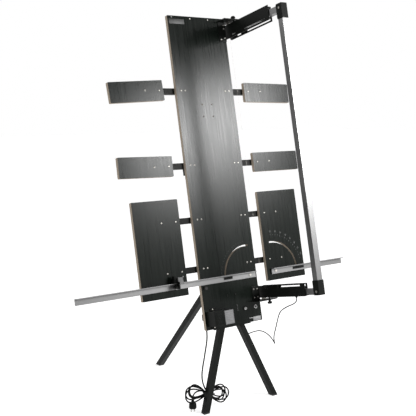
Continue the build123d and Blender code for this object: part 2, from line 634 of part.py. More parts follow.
def bow_corner(span, slide_v, tube_v):
    """A moulded corner with one square socket for the slide tube and one for the upright tube."""
    half = BOW_TUBE / 2
    with BuildPart() as corner:
        with BuildSketch(side_plane(CORNER_U[0])) as side:
            with Locations((sum(span) / 2, BOW_N)):
                Rectangle(span[1] - span[0], CORNER_D)
            chamfer(side.vertices().group_by(Axis.Y)[0], length=3)
        extrude(amount=CORNER_W)
        block(SLIDE_U, (slide_v, slide_v + SLIDE), (CORNER_N[0] - 5, SLIDE_FRONT), mode=Mode.SUBTRACT)
        block((AXIS_U - half, AXIS_U + half), tube_v, (BOW_N - half, BOW_N + half), mode=Mode.SUBTRACT)
        bolt_start = point(CORNER_U[0] - 1, slide_v + SLIDE / 2, BOLT_N)
        rod(bolt_start, U_DIR, CORNER_W + 2, BOLT_R + 0.1, mode=Mode.SUBTRACT)
    return corner


save(bow_corner(LOW_CORNER, LOW_SLIDE, (TUBE_ENDS[0], LOW_CORNER[1] + 5)), "corner_lower")
save(bow_corner(TOP_CORNER, TOP_SLIDE, (TOP_CORNER[0] - 5, TUBE_ENDS[1])), "corner_upper")

with BuildPart() as bow_bolts:
    for v in (LOW_SLIDE + SLIDE / 2, TOP_SLIDE + SLIDE / 2):
        rod(point(CORNER_U[0], v, BOLT_N), U_DIR, CORNER_W, BOLT_R)
        for u, out in ((CORNER_U[0], -1), (CORNER_U[1], 1)):
            with BuildSketch(Plane(origin=point(u, v, BOLT_N), x_dir=V_DIR, z_dir=U_DIR * out)):
                RegularPolygon(5.2, 6)
            extrude(amount=3.5)
save(bow_bolts, "bow_bolts")

HOLDER_N = (AXIS_N - 12, AXIS_N + 12)
HOLDER_U = (AXIS_U - 9, AXIS_U + 9)
LOW_HOLDER, TOP_HOLDER = (LOW_SLIDE + SLIDE, 157.0), (1468.0, TOP_SLIDE)
with BuildPart() as wire_holders:
    for v, open_v in ((LOW_HOLDER, (153, 158)), (TOP_HOLDER, (1467, 1470))):
        block(HOLDER_U, v, HOLDER_N)
        block((AXIS_U - 3, AXIS_U + 3), open_v, (AXIS_N - 3, AXIS_N + 3), mode=Mode.SUBTRACT)
save(wire_holders, "wire_holders")

WIRE_ENDS = (153.0, 1460.0)
with BuildPart() as hot_wire:
    rod(point(AXIS_U, WIRE_ENDS[0], AXIS_N), V_DIR, WIRE_ENDS[1] - WIRE_ENDS[0], WIRE_D / 2)
save(hot_wire, "hot_wire")

with BuildPart() as wire_spring:
    coil_foot = point(AXIS_U, WIRE_ENDS[1], AXIS_N)
    with BuildLine():
        coil = Helix(pitch=1.6, height=9.6, radius=2.2, center=coil_foot, direction=V_DIR)
    with BuildSketch(Plane(origin=coil @ 0, z_dir=coil % 0)):
        Circle(0.4)
    sweep(path=coil, is_frenet=True)
save(wire_spring, "wire_spring")

# ---------------------------------------------------------------- transformer

with BuildPart() as transformer_housing:
    block(BOX_U, BOX_V, (0, BOX_N))
    inner_u = (BOX_U[0] + BOX_WALL, BOX_U[1] - BOX_WALL)
    inner_v = (BOX_V[0] + BOX_WALL, BOX_V[1] - BOX_WALL)
    block(inner_u, inner_v, (BOX_WALL, BOX_N + 1), mode=Mode.SUBTRACT)
    for u, v in BOX_SCREWS:
        ear = (BOX_V[1], 104) if v > 50 else (3, BOX_V[0])
        block((u - 18, u + 18), ear, (0, 3))
        rod(point(u, v, -1), N_DIR, 5, SCREW_HOLE_R, mode=Mode.SUBTRACT)
    rod(point(*MAINS_AT, -1), N_DIR, 5, FITTING_HOLE_R, mode=Mode.SUBTRACT)
save(transformer_housing, "transformer_housing")

with BuildPart() as transformer_cover:
    block(BOX_U, BOX_V, (BOX_N, BOX_N + 3))
    block((14.5, 56), (24, 84), (BOX_N + 1.6, BOX_N + 4), mode=Mode.SUBTRACT)
    with BuildSketch(front_plane(BOX_N - 1)):
        with Locations((35, 54)):
            with GridLocations(0, 7, 1, 7):
                SlotOverall(32, 3)
    extrude(amount=5, mode=Mode.SUBTRACT)
save(transformer_cover, "transformer_cover")

with BuildPart() as transformer_core:
    block((38, 114), (24, 84), (8, 54))
    for u in ((51, 63), (89, 101)):
        block(u, (38, 70), (7, 55), mode=Mode.SUBTRACT)
save(transformer_core, "transformer_core")

with BuildPart() as transformer_coil:
    with BuildSketch(level_plane(69.5)):
        with Locations((76, 31)):
            RectangleRounded(49, 56, 6)
            Rectangle(26.4, 46.4, mode=Mode.SUBTRACT)
    extrude(amount=31)
save(transformer_coil, "transformer_coil")

# ---------------------------------------------------------------- outlets, button and cords

BUTTON_R = 5.5


def cord_outlet(hole, exit_u, boot_length, cord_radius):
    """A moulded outlet behind the board with its boot pointing down."""
    u, v = hole
    block((min(u, exit_u) - 11, max(u, exit_u) + 11), (v - 15, v + 15), (-PLY - 22, -PLY))
    rod(point(u, v, -PLY), N_DIR, PLY - 2, FITTING_R)
    taper(point(exit_u, v - 15, BOOT_N), -V_DIR, boot_length, 7.0, cord_radius + 1.2)


BOOT_N = -PLY - 12
with BuildPart() as panel_fittings:
    cord_outlet(MAINS_AT, MAINS_AT[0], 42, MAINS_D / 2)
    cord_outlet(GLAND_AT, LEAD_OUT_U, 33, LEAD_D / 2)
    with BuildSketch(front_plane(0)):
        with Locations(GLAND_AT):
            RegularPolygon(8.6, 6)
    extrude(amount=5)
    rod(point(*BUTTON_AT, -PLY - 14), N_DIR, PLY + 14, FITTING_R)
    rod(point(*BUTTON_AT, 0), N_DIR, 3.5, 9.5)
    rod(point(*BUTTON_AT, -9), N_DIR, 14, BUTTON_R + 0.1, mode=Mode.SUBTRACT)
save(panel_fittings, "panel_fittings")

with BuildPart() as power_button:
    rod(point(*BUTTON_AT, -4), N_DIR, 9, BUTTON_R)
save(power_button, "power_button")


def route_radii(route):
    """The largest tangent arc that each corner of a route leaves room for."""
    radii = []
    for before, corner, after in zip(route, route[1:], route[2:]):
        run_in, run_out = corner - before, after - corner
        turn = math.radians(run_in.get_angle(run_out))
        radii.append(0.45 * min(run_in.length, run_out.length) / math.tan(turn / 2))
    return radii


def cord_tube(route, diameter, name):
    """A cord along a route of straight runs joined by tangent arcs."""
    radii = route_radii(route)
    with BuildPart() as tube:
        with BuildLine() as path:
            FilletPolyline(*route, radius=radii)
        wire = path.wire()
        with BuildSketch(Plane(origin=wire @ 0, z_dir=wire % 0)):
            Circle(diameter / 2)
        sweep(path=wire)
    print(name, "length", round(wire.length), "bend radii", [round(radius) for radius in radii])
    return tube


# From the outlet behind the left edge down to the hank on the front left leg.
MAINS_ROUTE = [
    point(MAINS_AT[0], MAINS_AT[1] - 57, BOOT_N), point(MAINS_AT[0], MAINS_AT[1] - 82, BOOT_N),
    stand(-157, 23.5, 328),
    stand(-164, 25, 288), stand(-174, 22, 247), stand(-186, 18, 208), stand(-194, 14, 170),
    stand(-193, 10, 137), stand(-186, 5, 112), stand(-180, 2.5, 96),
]
save(cord_tube(MAINS_ROUTE, MAINS_D, "mains_cord"), "mains_cord")

HANK_AT, HANK_TILT, HANK_N, HANK_T = (5.0, -307.0), -11.0, -58.0, 28.0
with BuildPart() as mains_hank:
    with BuildSketch(front_plane(HANK_N - HANK_T)):
        with Locations(Location((*HANK_AT, 0), (0, 0, HANK_TILT))):
            for shift, height in ((-76, 42), (74, 44)):
                with Locations((shift, 0)):
                    Ellipse(61, height)
            Rectangle(64, 32)
    extrude(amount=HANK_T)
save(mains_hank, "mains_hank")

PLUG_FOOT = stand(-262.0, -6.0, 24.0)
with BuildPart() as mains_plug:
    upward = Vector(0, 0, 1)
    rod(PLUG_FOOT, upward, 22, 18.3)
    taper(PLUG_FOOT + upward * 22, upward, 9, 18.3, 10)
    taper(PLUG_FOOT + upward * 31, upward, 12, 7.5, MAINS_D / 2 + 0.8)
    for shift in (-9.5, 9.5):
        rod(PLUG_FOOT + U_DIR * shift, -upward, 19, 2.4)
save(mains_plug, "mains_plug")

# From the outlet behind the right leg, out to the right and up into the lower guide arm.
LEAD_ROUTE = [
    point(LEAD_OUT_U, GLAND_AT[1] - 48, BOOT_N), point(LEAD_OUT_U, GLAND_AT[1] - 66, BOOT_N),
    stand(83, 46, 376), stand(85, 64, 355), stand(88, 72, 330), stand(101, 73, 311), stand(122, 71, 305),
    stand(144, 66, 310), stand(160, 46, 322), stand(172, 14, 333), stand(179, -24, 329),
    stand(175, -68, 317), stand(167, -99, 303), stand(157, -121, 297), stand(149, -124, 310),
    stand(147, -122, 341), stand(154, -131, 388), stand(155, -143, 436), stand(158, -157, 474),
    stand(176, -188, 500), stand(198, -213, 515), point(LEAD_EXIT[0], LOW_GUIDE[0] - 22, LEAD_EXIT[1]),
    point(LEAD_EXIT[0], LOW_GUIDE[0] - 8, LEAD_EXIT[1]),
]
save(cord_tube(LEAD_ROUTE, LEAD_D, "low_voltage_lead"), "low_voltage_lead")
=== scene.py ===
import json
import math

import bmesh
import bpy
from mathutils import Matrix, Vector


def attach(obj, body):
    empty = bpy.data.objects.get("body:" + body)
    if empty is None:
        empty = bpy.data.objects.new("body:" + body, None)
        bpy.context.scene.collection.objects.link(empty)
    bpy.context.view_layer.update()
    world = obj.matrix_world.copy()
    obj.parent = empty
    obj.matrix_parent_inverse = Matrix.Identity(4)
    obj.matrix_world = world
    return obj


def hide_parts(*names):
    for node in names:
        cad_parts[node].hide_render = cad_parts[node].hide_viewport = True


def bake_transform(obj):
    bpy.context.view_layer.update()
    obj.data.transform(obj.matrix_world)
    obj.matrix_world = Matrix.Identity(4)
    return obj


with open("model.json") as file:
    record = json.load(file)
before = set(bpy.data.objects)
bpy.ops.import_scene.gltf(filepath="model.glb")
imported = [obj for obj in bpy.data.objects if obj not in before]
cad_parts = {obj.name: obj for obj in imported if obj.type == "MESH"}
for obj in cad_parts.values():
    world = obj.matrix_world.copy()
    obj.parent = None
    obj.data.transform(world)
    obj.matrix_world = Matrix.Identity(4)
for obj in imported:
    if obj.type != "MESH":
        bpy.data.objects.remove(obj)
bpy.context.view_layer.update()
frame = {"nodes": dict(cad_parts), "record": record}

# Hot-wire cutter for insulation boards, on its tripod. Places in the board's frame and on the stand are
# in millimetres, like the part's own, and so are the sizes given to the mesh helpers. Everything that
# Blender holds is in metres.
MM = 0.001
NODES = frame["nodes"]
RECORD = frame["record"]
JOINTS = {joint["name"]: joint for joint in RECORD["behaviour"]["joints"]}
MOUNTS = {mount["name"]: mount for mount in RECORD["mounts"]}

# The board's own frame: u to the right, v up the board, n out of its front face.
U_DIR = Vector((1, 0, 0))
V_DIR = Vector(JOINTS["bow_swivel"]["axis"]).normalized()
N_DIR = Vector(JOINTS["bow_slide"]["axis"]).normalized()
BOARD_AXES = Matrix((U_DIR, V_DIR, N_DIR)).transposed()
HOLES_AT = (175.0, 1082.0)          # middle of the accessory holes in the board's frame
ORIGIN = Vector(MOUNTS["accessory_holes"]["pos_m"]) - (HOLES_AT[0] * U_DIR + HOLES_AT[1] * V_DIR) * MM
STAND_SHIFT = Vector((40.5, -162.87, 0.0))


def place(u, v, n=0.0):
    """A place in the board's frame, given in millimetres."""
    return ORIGIN + (U_DIR * u + V_DIR * v + N_DIR * n) * MM


def stand(x, y, z):
    """A place measured from the floor below the main board's bottom edge, in millimetres."""
    return (Vector((x, y, z)) + STAND_SHIFT) * MM


def board_matrix(u, v, n):
    """A place in the board's frame, with x, y and z along u, v and n."""
    return Matrix.Translation(place(u, v, n)) @ BOARD_AXES.to_4x4()


# ---------------------------------------------------------------- mesh helpers

CORNER_STEPS = 6
SMOOTH_ANGLE = 35


def mesh_from(name, form, smooth_angle=SMOOTH_ANGLE):
    """A smooth mesh of a form, left sharp where its faces meet at more than an angle in degrees."""
    mesh = bpy.data.meshes.new(name)
    bmesh.ops.recalc_face_normals(form, faces=form.faces)
    form.to_mesh(mesh)
    form.free()
    mesh.shade_smooth()
    mesh.set_sharp_from_angle(angle=math.radians(smooth_angle))
    return mesh


def link_piece(name, form, finish, body, smooth_angle=SMOOTH_ANGLE):
    """Makes a piece of a form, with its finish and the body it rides."""
    piece = bpy.data.objects.new(name, mesh_from(name, form, smooth_angle))
    bpy.context.collection.objects.link(piece)
    piece.data.materials.append(MATERIALS[finish])
    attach(piece, body)
    return piece


def basis(at, z_dir):
    """A matrix whose z runs along z_dir, for shapes made standing on their own z."""
    z_axis = Vector(z_dir).normalized()
    x_axis = (U_DIR - z_axis * U_DIR.dot(z_axis)).normalized()
    y_axis = z_axis.cross(x_axis)
    matrix = Matrix((x_axis, y_axis, z_axis)).transposed().to_4x4()
    matrix.translation = at
    return matrix


def polar(radius, turn, height):
    """A spot at a radius and a turn about z, from millimetres."""
    return Vector((radius * math.cos(turn), radius * math.sin(turn), height)) * MM


def ring_of(form, matrix, radius, height, steps):
    """A ring of corners about the matrix's z."""
    return [
        form.verts.new(matrix @ polar(radius, 2 * math.pi * step / steps, height)) for step in range(steps)
    ]


def skin(form, rings, looped=False):
    """Joins each ring to the next. A looped skin comes back to its first ring, and any other has ends."""
    following = rings[1:] + rings[:1] if looped else rings[1:]
    for low, high in zip(rings, following):
        for index in range(len(low)):
            after = (index + 1) % len(low)
            form.faces.new((low[index], low[after], high[after], high[index]))
    if not looped:
        form.faces.new(rings[0])
        form.faces.new(rings[-1])


def add_lathe(form, profile, matrix, steps=32):
    """Turns (radius, height) pairs about the matrix's z."""
    skin(form, [ring_of(form, matrix, radius, height, steps) for radius, height in profile])


def add_box(form, size, matrix, bevel=0.0, segments=3):
    """A box centred on the matrix, with rounded edges where it has a bevel."""
    corners = bmesh.ops.create_cube(form, size=1.0)["verts"]
    bmesh.ops.scale(form, vec=Vector(size) * MM, verts=corners)
    if bevel:
        edges = list(dict.fromkeys(edge for corner in corners for edge in corner.link_edges))
        rounded = bmesh.ops.bevel(
            form, geom=corners + edges, offset=bevel * MM, segments=segments, profile=0.5, affect="EDGES")
        kept = {corner for corner in corners if corner.is_valid}
        corners = list(kept | {corner for face in rounded["faces"] for corner in face.verts})
    bmesh.ops.transform(form, matrix=matrix, verts=corners)


def quarter_turn(first):
    """The directions that round off a corner, through a quarter turn from an angle in degrees."""
    turns = [math.radians(first + 90 * step / CORNER_STEPS) for step in range(CORNER_STEPS + 1)]
    return [(math.cos(turn), math.sin(turn)) for turn in turns]


# ---------------------------------------------------------------- materials

NOISE_LOW, NOISE_HIGH = 0.3, 0.7    # a noise seldom leaves these values
RELIEF_DEPTH, LINE_DEPTH = 0.0004, 0.0002
MIX_SOCKETS = {"RGBA": (6, 7, 2), "FLOAT": (2, 3, 0)}       # a Mix node's two inputs and its output


def new_material(name):
    """A node material, with its tree and its shader."""
    material = bpy.data.materials.new(name)
    material.use_nodes = True
    tree = material.node_tree
    return material, tree, tree.nodes["Principled BSDF"]


def node(tree, kind, **settings):
    made = tree.nodes.new("ShaderNode" + kind)
    for key, value in settings.items():
        setattr(made, key, value)
    return made


def along(tree, output, direction):
    """How far an output of the texture coordinates runs along a direction."""
    coords = node(tree, "TexCoord")
    product = node(tree, "VectorMath", operation="DOT_PRODUCT")
    product.inputs[1].default_value = direction
    tree.links.new(coords.outputs[output], product.inputs[0])
    return product.outputs["Value"]


def calc(tree, operation, value, by=None, plus=None):
    """One sum on a value, with a fixed number and another value where the sum needs them."""
    made = node(tree, "Math", operation=operation)
    tree.links.new(value, made.inputs[0])
    if by is not None:
        made.inputs[1].default_value = by
    if plus is not None:
        tree.links.new(plus, made.inputs[2])
    return made.outputs[0]


def choose(tree, kind, factor, first, second):
    """The first value where the factor is 0 and the second where it is 1; a value may be a number."""
    made = node(tree, "Mix", data_type=kind)
    first_in, second_in, out = MIX_SOCKETS[kind]
    tree.links.new(factor, made.inputs["Factor"])
    for socket, value in ((first_in, first), (second_in, second)):
        if isinstance(value, float):
            made.inputs[socket].default_value = value
        else:
            tree.links.new(value, made.inputs[socket])
    return made.outputs[out]


def object_coords(tree, scale=(1, 1, 1), align_board=False):
    """Object coordinates; with align_board they run along the board's u, v and n."""
    coords = node(tree, "TexCoord")
    mapping = node(tree, "Mapping", vector_type="POINT")
    source = coords.outputs["Object"]
    if align_board:
        turn = node(tree, "Mapping", vector_type="POINT")
        turn.inputs["Rotation"].default_value = BOARD_AXES.transposed().to_euler()
        tree.links.new(source, turn.inputs["Vector"])
        source = turn.outputs["Vector"]
    mapping.inputs["Scale"].default_value = scale
    tree.links.new(source, mapping.inputs["Vector"])
    return mapping.outputs["Vector"]


def noise(tree, vector, scale, detail=4.0, roughness=0.55):
    made = node(tree, "TexNoise")
    made.inputs["Scale"].default_value = scale
    made.inputs["Detail"].default_value = detail
    made.inputs["Roughness"].default_value = roughness
    tree.links.new(vector, made.inputs["Vector"])
    return made.outputs["Fac"]


def ramp(tree, value, stops):
    """A colour ramp; each stop is a position and a grey level or a colour."""
    made = node(tree, "ValToRGB")
    elements = made.color_ramp.elements
    elements[0].position = stops[0][0]
    elements[1].position = stops[-1][0]
    for position, _ in stops[1:-1]:
        elements.new(position)
    for element, (_, colour) in zip(elements, stops):
        rgb = (colour,) * 3 if isinstance(colour, (int, float)) else colour
        element.color = (*rgb, 1)
    tree.links.new(value, made.inputs["Fac"])
    return made.outputs["Color"]


def spread(tree, pattern, low, high):
    """A noise spread from one grey level or colour to another."""
    return ramp(tree, pattern, ((NOISE_LOW, low), (NOISE_HIGH, high)))


def bump(tree, shader, height, strength, distance):
    made = node(tree, "Bump")
    made.inputs["Strength"].default_value = strength
    made.inputs["Distance"].default_value = distance
    tree.links.new(height, made.inputs["Height"])
    tree.links.new(made.outputs["Normal"], shader.inputs["Normal"])


def textured(name, low, high, rough, scale=60.0, metallic=0.0, relief=0.1, specular=0.5):
    """A finish whose colour and roughness vary a little, with a fine relief."""
    material, tree, shader = new_material(name)
    vector = object_coords(tree)
    pattern = noise(tree, vector, scale)
    tree.links.new(spread(tree, pattern, low, high), shader.inputs["Base Color"])
    tree.links.new(spread(tree, pattern, *rough), shader.inputs["Roughness"])
    shader.inputs["Metallic"].default_value = metallic
    shader.inputs["Specular IOR Level"].default_value = specular
    bump(tree, shader, noise(tree, vector, scale * 6, detail=2.0), relief, RELIEF_DEPTH)
    return material


def brushed_aluminium(name, stretch, rough):
    """Extruded metal with fine lines along its length."""
    level = 0.2
    material, tree, shader = new_material(name)
    lines = noise(tree, object_coords(tree, stretch, True), 8.0, detail=5.0, roughness=0.6)
    tree.links.new(spread(tree, lines, level * 0.86, level * 1.08), shader.inputs["Base Color"])
    tree.links.new(spread(tree, lines, rough + 0.06, rough - 0.05), shader.inputs["Roughness"])
    shader.inputs["Metallic"].default_value = 1.0
    bump(tree, shader, lines, 0.12, LINE_DEPTH)
    return material


LAYER_T = 1.5           # one birch layer
BIRCH_STOPS = ((0.2, (0.17, 0.13, 0.095)), (0.55, (0.31, 0.26, 0.21)), (0.9, (0.4, 0.35, 0.29)))
FILM_LOW, FILM_HIGH = (0.003, 0.0045, 0.0035), (0.0065, 0.009, 0.007)
FILM_GLOSS = (0.15, 0.26)
EDGE_ROUGH = 0.75


def birch_layers(tree):
    """The colour of a bare edge, in layers through the board's thickness."""
    split = node(tree, "SeparateXYZ")
    tree.links.new(object_coords(tree, align_board=True), split.inputs[0])
    depth = calc(tree, "MULTIPLY", split.outputs["Z"], math.pi / (LAYER_T * MM))
    wave = calc(tree, "SINE", depth)
    grain = noise(tree, object_coords(tree, (40, 40, 400), True), 3.0)
    return ramp(tree, calc(tree, "MULTIPLY_ADD", wave, 0.35, grain), BIRCH_STOPS)


def film_plywood():
    """Black phenolic film on the faces and bare birch layers on every edge."""
    material, tree, shader = new_material("film_faced_plywood")
    facing = calc(tree, "ABSOLUTE", along(tree, "Normal", N_DIR))
    is_face = calc(tree, "GREATER_THAN", facing, 0.7)
    streaks = noise(tree, object_coords(tree, (26, 0.8, 1), True), 6.0, detail=6.0, roughness=0.7)
    film = spread(tree, streaks, FILM_LOW, FILM_HIGH)
    colour = choose(tree, "RGBA", is_face, birch_layers(tree), film)
    tree.links.new(colour, shader.inputs["Base Color"])

    gloss = node(tree, "MapRange")
    gloss.inputs["From Min"].default_value = NOISE_LOW
    gloss.inputs["From Max"].default_value = NOISE_HIGH
    gloss.inputs["To Min"].default_value = FILM_GLOSS[0]
    gloss.inputs["To Max"].default_value = FILM_GLOSS[1]
    tree.links.new(streaks, gloss.inputs["Value"])
    rough = choose(tree, "FLOAT", is_face, EDGE_ROUGH, gloss.outputs["Result"])
    tree.links.new(rough, shader.inputs["Roughness"])
    shader.inputs["Specular IOR Level"].default_value = 0.15
    bump(tree, shader, streaks, 0.06, LINE_DEPTH)
    return material


BLACK_COAT = ((0.003, 0.0035, 0.003), (0.006, 0.007, 0.006))
BLACK_MOULDING = ((0.003, 0.0036, 0.003), (0.006, 0.0068, 0.006))
ZINC = ((0.3, 0.29, 0.27), (0.44, 0.42, 0.39))
STEEL = (0.3, (0.42, 0.42, 0.41))
COPPER = ((0.42, 0.16, 0.06), (0.6, 0.27, 0.1))
HEATED_WIRE = ((0.4, 0.38, 0.35), (0.5, 0.48, 0.45))
PLATE_GREY = ((0.18, 0.18, 0.185), (0.22, 0.22, 0.225))
LABEL_DARK = ((0.032, 0.033, 0.032), (0.06, 0.061, 0.06))
MATERIALS = {
    # the finishes that the part's own slots ask for
    "film_faced_plywood": film_plywood(),
    "black_steel": textured("black_powder_coat", *BLACK_COAT, (0.38, 0.5), 90, relief=0.12, specular=0.1),
    "aluminium": brushed_aluminium("satin_aluminium", (4, 160, 160), 0.36),
    "zinc_steel": textured("zinc_plate", *ZINC, (0.3, 0.42), 120, metallic=1.0),
    "black_plastic": textured("black_moulding", *BLACK_MOULDING, (0.42, 0.55), 140, specular=0.08),
    "rubber": textured("black_rubber", 0.012, 0.02, (0.7, 0.85), 120),
    "cord_rubber": textured("cord_sheath", 0.004, 0.008, (0.55, 0.65), 200, specular=0.06),
    "button_plastic": textured("button_gloss", 0.013, 0.02, (0.2, 0.3), 150),
    "ceramic_holder": textured("wire_holder", 0.014, 0.025, (0.5, 0.6), 150),
    "laminated_iron": textured("laminations", 0.1, 0.16, (0.4, 0.55), 80, metallic=0.9),
    "copper_winding": textured("copper", *COPPER, (0.3, 0.4), 100, metallic=1.0),
    "resistance_wire": textured("bare_wire", *HEATED_WIRE, (0.3, 0.4), 300, metallic=1.0),
    # the finishes of the pieces made here
    "black_screw": textured("black_screw", 0.006, 0.01, (0.4, 0.5), 150, specular=0.1),
    "bright_steel": textured("bright_steel", *STEEL, (0.2, 0.3), 120, metallic=1.0),
    "white_print": textured("white_print", 0.075, 0.1, (0.5, 0.6), 120),
    "grey_print": textured("grey_print", 0.05, 0.07, (0.5, 0.6), 120),
    "plate_grey": textured("plate_grey", *PLATE_GREY, (0.4, 0.5), 80, specular=0.3),
    "plate_lines": textured("plate_lines", 0.09, 0.13, (0.4, 0.5), 80),
    "plate_light": textured("plate_light", 0.24, 0.3, (0.4, 0.5), 80, specular=0.3),
    "light_plate": textured("light_plate", 0.3, 0.4, (0.45, 0.55), 90, specular=0.4),
    "label_dark": textured("label_dark", *LABEL_DARK, (0.45, 0.55), 80),
    "bow_aluminium": brushed_aluminium("bow_aluminium", (160, 4, 160), 0.34),
}
SLOT_OF = {entry["node"]: entry["material_slot"] for entry in RECORD["subparts"]}


def dress_nodes():
    """Each node gets the finish of its slot; the upright tube has its lines along the board's v."""
    for name, piece in NODES.items():
        finish = "bow_aluminium" if name == "bow_tube" else SLOT_OF[name]
        piece.data.materials.clear()
        piece.data.materials.append(MATERIALS[finish])


# ---------------------------------------------------------------- camera, floor and light

CAMERA_AT = stand(-2394.8, -3080.0, 1493.4)
CAMERA_PAN, CAMERA_TILT = 35.88, -7.52
LENS, SENSOR = 69.87, 36.0
VIEW_END = 60.0
FLOOR_REACH = 30.0
FLOOR_GREY, FLOOR_GLOW = 0.9, 0.6

# the softbox stands where the boards mirror it, in strips named after the height they mirror it at
SOFTBOX_REACH, SOFTBOX_WIDTH = 4.2, 1.38
SOFTBOX_POWER = 36 * math.pi        # of a square metre at level 1
SOFTBOX_U = 135
SOFTBOX_LEVELS = (
    (1190, 0.7), (1095, 1.15), (1000, 1.25), (905, 1.1), (810, 0.72), (715, 0.42), (620, 0.2), (525, 0.07),
)
WORLD_DARK_SIDE = (0.2, -0.27, 0.9)
WORLD_LEVELS = ((0.48, 1.0), (0.58, 0.5), (0.7, 0.12))


def make_camera():
    data = bpy.data.cameras.new("camera")
    data.lens = LENS
    data.sensor_width = SENSOR
    data.clip_end = VIEW_END
    camera = bpy.data.objects.new("camera", data)
    bpy.context.collection.objects.link(camera)
    camera.location = CAMERA_AT
    camera.rotation_euler = (math.radians(90 + CAMERA_TILT), 0, math.radians(-CAMERA_PAN))
    bpy.context.scene.camera = camera


def area_light(name, at, aim, width, height, power):
    data = bpy.data.lights.new(name, "AREA")
    data.shape = "RECTANGLE"
    data.size, data.size_y = width, height
    data.energy = power
    light = bpy.data.objects.new(name, data)
    bpy.context.collection.objects.link(light)
    light.location = at
    light.rotation_euler = (aim - at).to_track_quat("-Z", "Y").to_euler()


def mirrored_in_board(u, v):
    """Where a light has to stand for the board at (u, v) to mirror it to the camera."""
    mirror_camera = CAMERA_AT - N_DIR * (2 * (CAMERA_AT - ORIGIN).dot(N_DIR))
    spot = place(u, v)
    return spot + (spot - mirror_camera).normalized() * SOFTBOX_REACH


def make_softbox():
    """A softbox in strips that dims downwards, in front of the stand to the right."""
    spots = [mirrored_in_board(SOFTBOX_U, v) for v, _ in SOFTBOX_LEVELS]
    height = (spots[0] - spots[1]).length
    full_power = SOFTBOX_POWER * SOFTBOX_WIDTH * height
    for spot, (v, level) in zip(spots, SOFTBOX_LEVELS):
        area_light(f"softbox_{v}", spot, place(SOFTBOX_U, v), SOFTBOX_WIDTH, height, full_power * level)


def make_world():
    """White all round at the horizon, dark high up on the side the boards face."""
    world = bpy.data.worlds.new("studio")
    world.use_nodes = True
    bpy.context.scene.world = world
    tree = world.node_tree
    background = tree.nodes["Background"]
    shade = ramp(tree, along(tree, "Generated", WORLD_DARK_SIDE), WORLD_LEVELS)
    tree.links.new(shade, background.inputs["Color"])
    background.inputs["Strength"].default_value = 1.0


def make_stage():
    """A plain pale floor that glows a little, the world and the softbox."""
    mesh = bpy.data.meshes.new("floor")
    sides = ((-1, -1), (1, -1), (1, 1), (-1, 1))
    mesh.from_pydata([(x * FLOOR_REACH, y * FLOOR_REACH, 0) for x, y in sides], [], [(0, 1, 2, 3)])
    floor = bpy.data.objects.new("floor", mesh)
    bpy.context.collection.objects.link(floor)
    material, _, shader = new_material("floor_paint")
    shader.inputs["Base Color"].default_value = (FLOOR_GREY, FLOOR_GREY, FLOOR_GREY, 1)
    shader.inputs["Roughness"].default_value = 0.9
    shader.inputs["Specular IOR Level"].default_value = 0.0
    shader.inputs["Emission Color"].default_value = (1, 1, 1, 1)
    shader.inputs["Emission Strength"].default_value = FLOOR_GLOW
    mesh.materials.append(material)
    make_world()
    make_softbox()
    bpy.context.scene.view_settings.view_transform = "Standard"


# ---------------------------------------------------------------- screws, plates and marks

SCREW_R, HEAD_SCREW_R = 4.3, 4.5
SCREW_TURN = 0.9        # each cross stands turned this much, in radians, from the one before
LIFT = 0.05             # what lies on a surface stands this far off it
LEFT_SCREWS, RIGHT_SCREWS = (28.0, 52.0, -99.0, -181.0), (300.0, 324.0, 451.0, 530.0)
ARM_HEIGHTS = (1182.0, 810.0, 541.0, 300.0)
HEAD_SCREWS = ((87.0, 12.0), (263.0, 12.0), (150.0, 152.0), (200.0, 152.0))
HANDLE_SCREWS = ((135.0, 1549.0), (246.0, 1549.0))
BOX_SCREWS = ((48.0, 97.0), (49.0, 10.0))
FLANGE_SCREWS = (
    (338.0, 118.0), (338.0, 160.0), (316.0, 118.0), (316.0, 160.0),
    (340.0, 1526.0), (340.0, 1508.0), (339.0, 1459.0), (315.0, 1451.0),
)
PLATE_T, BOX_FLANGE_T = 4.0, 3.0

PAN_TOP = 2.2
PAN_RIM = ((0.98, 0.0), (1.0, 0.5), (0.93, 1.3), (0.74, 1.9), (0.5, PAN_TOP))   # part of the radius, height
PAN_STEPS = 32
CROSS_ARM, CROSS_NECK = 0.44, 0.17                      # parts of the head's radius
CROSS_HALF_ANGLE = 0.25
CROSS_FLOOR_AT, CROSS_TAPER = 0.9, 0.72


def add_pan_head(form, u, v, n, radius, turn):
    """A domed screw head with a cross recess sunk into it."""
    matrix = board_matrix(u, v, n) @ Matrix.Rotation(turn, 4, "Z")
    rings = [ring_of(form, matrix, radius * part, height, PAN_STEPS) for part, height in PAN_RIM]
    cross, floor = [], []
    for step in range(PAN_STEPS):
        angle = 2 * math.pi * step / PAN_STEPS
        off_arm = abs((angle + math.pi / 4) % (math.pi / 2) - math.pi / 4)
        reach = radius * (CROSS_ARM if off_arm < CROSS_HALF_ANGLE else CROSS_NECK)
        cross.append(form.verts.new(matrix @ polar(reach, angle, PAN_TOP)))
        floor.append(form.verts.new(matrix @ polar(reach * CROSS_TAPER, angle, CROSS_FLOOR_AT)))
    skin(form, rings + [cross, floor])


